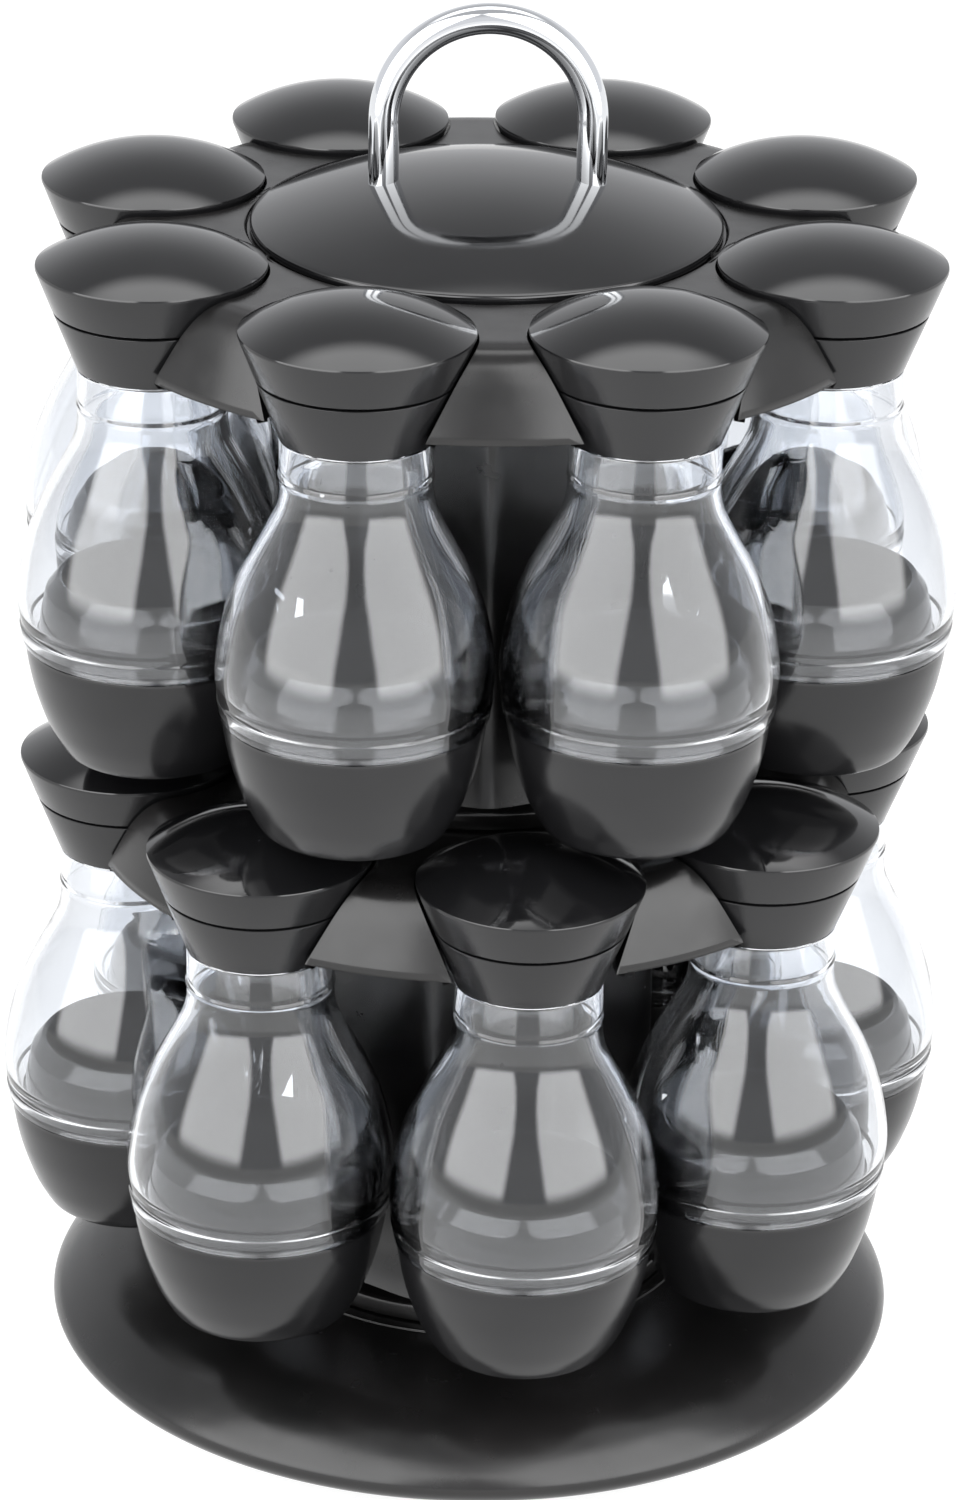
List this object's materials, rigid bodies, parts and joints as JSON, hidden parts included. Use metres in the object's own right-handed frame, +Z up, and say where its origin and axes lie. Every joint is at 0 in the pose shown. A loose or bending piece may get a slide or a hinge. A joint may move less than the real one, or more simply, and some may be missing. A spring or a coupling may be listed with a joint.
{
  "type": "spice carousel",
  "caption": "Tiered revolving spice rack: clear pear-shaped jars hang by conical caps in the notches of round plates, on a column with a round base and a rod carrying handle.",
  "frame": {"origin": "on the table, under the middle of the round base", "axes": "+Z up along the spin axis; the handle's two legs lie along X; +Y away from the front"},
  "size_m": [0.1884, 0.1884, 0.2812],
  "materials": {
    "satin_black_plastic": "moulded polypropylene, satin black",
    "gloss_black_plastic": "moulded polystyrene, glossy black",
    "clear_plastic": "moulded clear polystyrene",
    "chrome": "bent steel rod, polished and chrome plated",
    "steel": "zinc plated steel",
    "rubber": "matte black",
    "natural_plastic": "natural white acetal"
  },
  "bodies": {
    "base": {"base_dish": "satin_black_plastic", "foot_ring": "rubber", "thrust_washer": "natural_plastic", "centre_bolt": "steel"},
    "lower_tier": {"lower_column": "satin_black_plastic", "lower_plate": "satin_black_plastic"},
    "upper_tier": {"upper_column": "satin_black_plastic", "upper_plate": "satin_black_plastic", "top_cover": "gloss_black_plastic", "handle": "chrome", "handle_nut_left": "steel", "handle_nut_right": "steel"},
    "lower_jar_1": {"lower_bottle_1": "clear_plastic", "lower_cup_1": "satin_black_plastic"},
    "lower_lid_1": {"lower_cap_1": "gloss_black_plastic"},
    "lower_jar_2": {"lower_bottle_2": "clear_plastic", "lower_cup_2": "satin_black_plastic"},
    "lower_lid_2": {"lower_cap_2": "gloss_black_plastic"},
    "lower_jar_3": {"lower_bottle_3": "clear_plastic", "lower_cup_3": "satin_black_plastic"},
    "lower_lid_3": {"lower_cap_3": "gloss_black_plastic"},
    "lower_jar_4": {"lower_bottle_4": "clear_plastic", "lower_cup_4": "satin_black_plastic"},
    "lower_lid_4": {"lower_cap_4": "gloss_black_plastic"},
    "lower_jar_5": {"lower_bottle_5": "clear_plastic", "lower_cup_5": "satin_black_plastic"},
    "lower_lid_5": {"lower_cap_5": "gloss_black_plastic"},
    "lower_jar_6": {"lower_bottle_6": "clear_plastic", "lower_cup_6": "satin_black_plastic"},
    "lower_lid_6": {"lower_cap_6": "gloss_black_plastic"},
    "lower_jar_7": {"lower_bottle_7": "clear_plastic", "lower_cup_7": "satin_black_plastic"},
    "lower_lid_7": {"lower_cap_7": "gloss_black_plastic"},
    "lower_jar_8": {"lower_bottle_8": "clear_plastic", "lower_cup_8": "satin_black_plastic"},
    "lower_lid_8": {"lower_cap_8": "gloss_black_plastic"},
    "upper_jar_1": {"upper_bottle_1": "clear_plastic", "upper_cup_1": "satin_black_plastic"},
    "upper_lid_1": {"upper_cap_1": "gloss_black_plastic"},
    "upper_jar_2": {"upper_bottle_2": "clear_plastic", "upper_cup_2": "satin_black_plastic"},
    "upper_lid_2": {"upper_cap_2": "gloss_black_plastic"},
    "upper_jar_3": {"upper_bottle_3": "clear_plastic", "upper_cup_3": "satin_black_plastic"},
    "upper_lid_3": {"upper_cap_3": "gloss_black_plastic"},
    "upper_jar_4": {"upper_bottle_4": "clear_plastic", "upper_cup_4": "satin_black_plastic"},
    "upper_lid_4": {"upper_cap_4": "gloss_black_plastic"},
    "upper_jar_5": {"upper_bottle_5": "clear_plastic", "upper_cup_5": "satin_black_plastic"},
    "upper_lid_5": {"upper_cap_5": "gloss_black_plastic"},
    "upper_jar_6": {"upper_bottle_6": "clear_plastic", "upper_cup_6": "satin_black_plastic"},
    "upper_lid_6": {"upper_cap_6": "gloss_black_plastic"},
    "upper_jar_7": {"upper_bottle_7": "clear_plastic", "upper_cup_7": "satin_black_plastic"},
    "upper_lid_7": {"upper_cap_7": "gloss_black_plastic"},
    "upper_jar_8": {"upper_bottle_8": "clear_plastic", "upper_cup_8": "satin_black_plastic"},
    "upper_lid_8": {"upper_cap_8": "gloss_black_plastic"}
  },
  "joints": [
    {"name": "carousel_spin", "type": "hinge", "parent": "base", "child": "lower_tier", "pos_m": [0, 0, 0.02], "axis": [0, 0, 1], "continuous": true},
    {"name": "upper_tier_turn", "type": "hinge", "parent": "lower_tier", "child": "upper_tier", "pos_m": [0, 0, 0.129], "axis": [0, 0, 1], "continuous": true},
    {"name": "lower_jar_1_pull", "type": "slide", "parent": "lower_tier", "child": "lower_jar_1", "axis": [0.9758, 0.0964, 0.1961], "range_m": [0, 0.055]},
    {"name": "lower_lid_1_twist", "type": "hinge", "parent": "lower_jar_1", "child": "lower_lid_1", "pos_m": [0.06886, 0.0068, 0.1308], "axis": [0, 0, 1], "range_deg": [0, 180]},
    {"name": "lower_jar_2_pull", "type": "slide", "parent": "lower_tier", "child": "lower_jar_2", "axis": [0.6219, 0.7582, 0.1961], "range_m": [0, 0.055]},
    {"name": "lower_lid_2_twist", "type": "hinge", "parent": "lower_jar_2", "child": "lower_lid_2", "pos_m": [0.04389, 0.0535, 0.1308], "axis": [0, 0, 1], "range_deg": [0, 180]},
    {"name": "lower_jar_3_pull", "type": "slide", "parent": "lower_tier", "child": "lower_jar_3", "axis": [-0.0964, 0.9758, 0.1961], "range_m": [0, 0.055]},
    {"name": "lower_lid_3_twist", "type": "hinge", "parent": "lower_jar_3", "child": "lower_lid_3", "pos_m": [-0.0068, 0.06886, 0.1308], "axis": [0, 0, 1], "range_deg": [0, 180]},
    {"name": "lower_jar_4_pull", "type": "slide", "parent": "lower_tier", "child": "lower_jar_4", "axis": [-0.7582, 0.6219, 0.1961], "range_m": [0, 0.055]},
    {"name": "lower_lid_4_twist", "type": "hinge", "parent": "lower_jar_4", "child": "lower_lid_4", "pos_m": [-0.0535, 0.04389, 0.1308], "axis": [0, 0, 1], "range_deg": [0, 180]},
    {"name": "lower_jar_5_pull", "type": "slide", "parent": "lower_tier", "child": "lower_jar_5", "axis": [-0.9758, -0.0964, 0.1961], "range_m": [0, 0.055]},
    {"name": "lower_lid_5_twist", "type": "hinge", "parent": "lower_jar_5", "child": "lower_lid_5", "pos_m": [-0.06886, -0.0068, 0.1308], "axis": [0, 0, 1], "range_deg": [0, 180]},
    {"name": "lower_jar_6_pull", "type": "slide", "parent": "lower_tier", "child": "lower_jar_6", "axis": [-0.6219, -0.7582, 0.1961], "range_m": [0, 0.055]},
    {"name": "lower_lid_6_twist", "type": "hinge", "parent": "lower_jar_6", "child": "lower_lid_6", "pos_m": [-0.04389, -0.0535, 0.1308], "axis": [0, 0, 1], "range_deg": [0, 180]},
    {"name": "lower_jar_7_pull", "type": "slide", "parent": "lower_tier", "child": "lower_jar_7", "axis": [0.0964, -0.9758, 0.1961], "range_m": [0, 0.055]},
    {"name": "lower_lid_7_twist", "type": "hinge", "parent": "lower_jar_7", "child": "lower_lid_7", "pos_m": [0.0068, -0.06886, 0.1308], "axis": [0, 0, 1], "range_deg": [0, 180]},
    {"name": "lower_jar_8_pull", "type": "slide", "parent": "lower_tier", "child": "lower_jar_8", "axis": [0.7582, -0.6219, 0.1961], "range_m": [0, 0.055]},
    {"name": "lower_lid_8_twist", "type": "hinge", "parent": "lower_jar_8", "child": "lower_lid_8", "pos_m": [0.0535, -0.04389, 0.1308], "axis": [0, 0, 1], "range_deg": [0, 180]},
    {"name": "upper_jar_1_pull", "type": "slide", "parent": "upper_tier", "child": "upper_jar_1", "axis": [0.9059, 0.3753, 0.1961], "range_m": [0, 0.055]},
    {"name": "upper_lid_1_twist", "type": "hinge", "parent": "upper_jar_1", "child": "upper_lid_1", "pos_m": [0.06393, 0.02648, 0.2386], "axis": [0, 0, 1], "range_deg": [0, 180]},
    {"name": "upper_jar_2_pull", "type": "slide", "parent": "upper_tier", "child": "upper_jar_2", "axis": [0.3753, 0.9059, 0.1961], "range_m": [0, 0.055]},
    {"name": "upper_lid_2_twist", "type": "hinge", "parent": "upper_jar_2", "child": "upper_lid_2", "pos_m": [0.02648, 0.06393, 0.2386], "axis": [0, 0, 1], "range_deg": [0, 180]},
    {"name": "upper_jar_3_pull", "type": "slide", "parent": "upper_tier", "child": "upper_jar_3", "axis": [-0.3753, 0.9059, 0.1961], "range_m": [0, 0.055]},
    {"name": "upper_lid_3_twist", "type": "hinge", "parent": "upper_jar_3", "child": "upper_lid_3", "pos_m": [-0.02648, 0.06393, 0.2386], "axis": [0, 0, 1], "range_deg": [0, 180]},
    {"name": "upper_jar_4_pull", "type": "slide", "parent": "upper_tier", "child": "upper_jar_4", "axis": [-0.9059, 0.3753, 0.1961], "range_m": [0, 0.055]},
    {"name": "upper_lid_4_twist", "type": "hinge", "parent": "upper_jar_4", "child": "upper_lid_4", "pos_m": [-0.06393, 0.02648, 0.2386], "axis": [0, 0, 1], "range_deg": [0, 180]},
    {"name": "upper_jar_5_pull", "type": "slide", "parent": "upper_tier", "child": "upper_jar_5", "axis": [-0.9059, -0.3753, 0.1961], "range_m": [0, 0.055]},
    {"name": "upper_lid_5_twist", "type": "hinge", "parent": "upper_jar_5", "child": "upper_lid_5", "pos_m": [-0.06393, -0.02648, 0.2386], "axis": [0, 0, 1], "range_deg": [0, 180]},
    {"name": "upper_jar_6_pull", "type": "slide", "parent": "upper_tier", "child": "upper_jar_6", "axis": [-0.3753, -0.9059, 0.1961], "range_m": [0, 0.055]},
    {"name": "upper_lid_6_twist", "type": "hinge", "parent": "upper_jar_6", "child": "upper_lid_6", "pos_m": [-0.02648, -0.06393, 0.2386], "axis": [0, 0, 1], "range_deg": [0, 180]},
    {"name": "upper_jar_7_pull", "type": "slide", "parent": "upper_tier", "child": "upper_jar_7", "axis": [0.3753, -0.9059, 0.1961], "range_m": [0, 0.055]},
    {"name": "upper_lid_7_twist", "type": "hinge", "parent": "upper_jar_7", "child": "upper_lid_7", "pos_m": [0.02648, -0.06393, 0.2386], "axis": [0, 0, 1], "range_deg": [0, 180]},
    {"name": "upper_jar_8_pull", "type": "slide", "parent": "upper_tier", "child": "upper_jar_8", "axis": [0.9059, -0.3753, 0.1961], "range_m": [0, 0.055]},
    {"name": "upper_lid_8_twist", "type": "hinge", "parent": "upper_jar_8", "child": "upper_lid_8", "pos_m": [0.06393, -0.02648, 0.2386], "axis": [0, 0, 1], "range_deg": [0, 180]}
  ]
}
